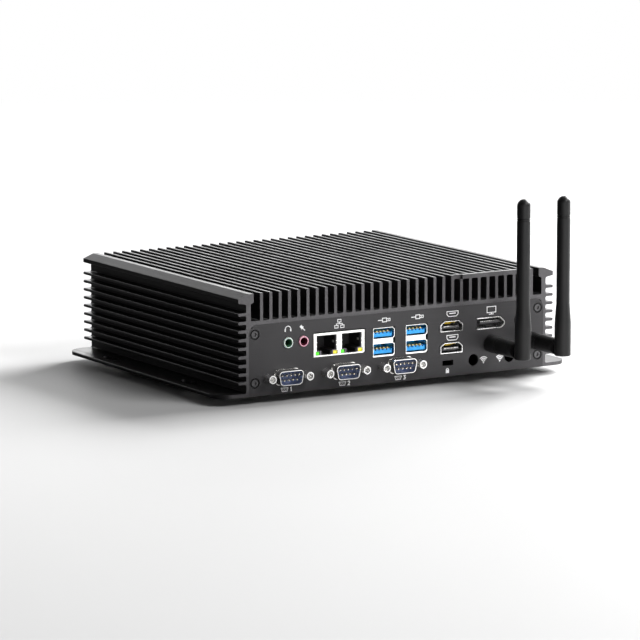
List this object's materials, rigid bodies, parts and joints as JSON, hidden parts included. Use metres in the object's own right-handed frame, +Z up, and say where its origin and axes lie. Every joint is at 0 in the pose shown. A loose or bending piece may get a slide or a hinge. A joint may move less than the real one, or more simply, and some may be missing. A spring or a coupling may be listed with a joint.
{
  "type": "fanless industrial pc",
  "caption": "Low, wide industrial computer in a finned dark metal housing with side mounting flanges, a port panel and jointed rod antennas; cooled without a fan.",
  "frame": {"origin": "centre of the overall footprint, on the plane the rubber feet stand on", "axes": "+X to the right seen from the port side, along the longest side; +Y from the port panel towards the power button's panel; +Z up"},
  "size_m": [0.2426, 0.2323, 0.1125],
  "materials": {
    "anodised_dark_grey": "dark grey satin anodised aluminium",
    "panel_dark_grey": "dark grey satin anodised aluminium sheet",
    "screw_black": "blackened steel",
    "rubber_black": "matt black rubber",
    "bright_nickel": "bright nickel plate",
    "steel_zinc": "zinc plated steel",
    "insert_slate": "slate blue moulded plastic",
    "gold_contact": "gold flashed contacts",
    "plastic_black": "matt black moulded plastic",
    "plastic_blue": "blue moulded plastic",
    "plastic_green": "pale green moulded plastic",
    "plastic_pink": "pink moulded plastic",
    "lamp_green": "clear green lamp",
    "lamp_yellow": "clear yellow lamp",
    "lamp_blue": "clear blue lamp",
    "board_green": "green solder mask on glass laminate",
    "silicon_package": "black and grey chip package",
    "spreader_metal": "milled aluminium",
    "pad_grey": "soft grey thermal pad",
    "ribbon_grey": "grey flat ribbon",
    "lead_black": "black lead",
    "brass_rod": "brass"
  },
  "bodies": {
    "computer": {"chassis_extrusion": "anodised_dark_grey", "io_panel": "panel_dark_grey", "panel_screws": "screw_black", "power_panel": "panel_dark_grey", "bottom_cover": "panel_dark_grey", "bottom_cover_screws": "screw_black", "rubber_feet": "rubber_black", "mainboard": "board_green", "board_posts": "brass_rod", "board_screws": "steel_zinc", "processor": "silicon_package", "thermal_pad": "pad_grey", "heat_spreader": "spreader_metal", "memory_socket": "plastic_black", "memory_module": "board_green", "storage_drive": "board_green", "wireless_card": "board_green", "card_sockets": "plastic_black", "card_posts": "brass_rod", "card_screws": "steel_zinc", "coin_cell": "steel_zinc", "coin_cell_holder": "plastic_black", "serial_shells": "bright_nickel", "serial_inserts": "insert_slate", "serial_pins": "gold_contact", "serial_jack_screws": "bright_nickel", "serial_ribbons": "ribbon_grey", "serial_headers": "plastic_black", "headphone_socket": "plastic_green", "microphone_socket": "plastic_pink", "network_shield": "bright_nickel", "network_core": "plastic_black", "network_lamps_green": "lamp_green", "network_lamps_yellow": "lamp_yellow", "network_contacts": "gold_contact", "usb_shells": "bright_nickel", "usb_tongues": "plastic_blue", "usb_contacts": "gold_contact", "monitor_socket_shells": "bright_nickel", "monitor_socket_tongues": "plastic_black", "display_socket_shell": "bright_nickel", "display_socket_tongue": "plastic_black", "power_inlet": "plastic_black", "power_inlet_pin": "bright_nickel", "antenna_jacks": "brass_rod", "antenna_jack_nuts": "bright_nickel", "antenna_collars": "plastic_black", "antenna_leads": "lead_black", "power_button_bezel": "steel_zinc", "power_switch": "plastic_black", "power_button_nut": "steel_zinc", "power_lamp": "lamp_blue", "button_lead": "lead_black"},
    "antenna_knuckle_left": {"antenna_knuckle_left": "plastic_black"},
    "antenna_whip_left": {"antenna_whip_left": "plastic_black", "antenna_radiator_left": "brass_rod"},
    "antenna_knuckle_right": {"antenna_knuckle_right": "plastic_black"},
    "antenna_whip_right": {"antenna_whip_right": "plastic_black", "antenna_radiator_right": "brass_rod"},
    "power_button": {"power_button_cap": "steel_zinc"}
  },
  "joints": [
    {"name": "antenna_swivel_left", "type": "hinge", "parent": "computer", "child": "antenna_knuckle_left", "pos_m": [0.06395, -0.0879, 0.022], "axis": [0, 1, 0], "range_deg": [-180, 5]},
    {"name": "antenna_elbow_left", "type": "hinge", "parent": "antenna_knuckle_left", "child": "antenna_whip_left", "pos_m": [0.06395, -0.1113, 0.022], "axis": [1, 0, 0], "range_deg": [0, 90]},
    {"name": "antenna_swivel_right", "type": "hinge", "parent": "computer", "child": "antenna_knuckle_right", "pos_m": [0.09215, -0.0879, 0.022], "axis": [0, 1, 0], "range_deg": [-5, 180]},
    {"name": "antenna_elbow_right", "type": "hinge", "parent": "antenna_knuckle_right", "child": "antenna_whip_right", "pos_m": [0.09215, -0.1113, 0.022], "axis": [1, 0, 0], "range_deg": [0, 90]},
    {"name": "power_button_press", "type": "slide", "parent": "computer", "child": "power_button", "axis": [0, -1, 0], "range_m": [0, 0.001], "stiffness_N_per_m": 800, "springref_m": -0.001}
  ]
}
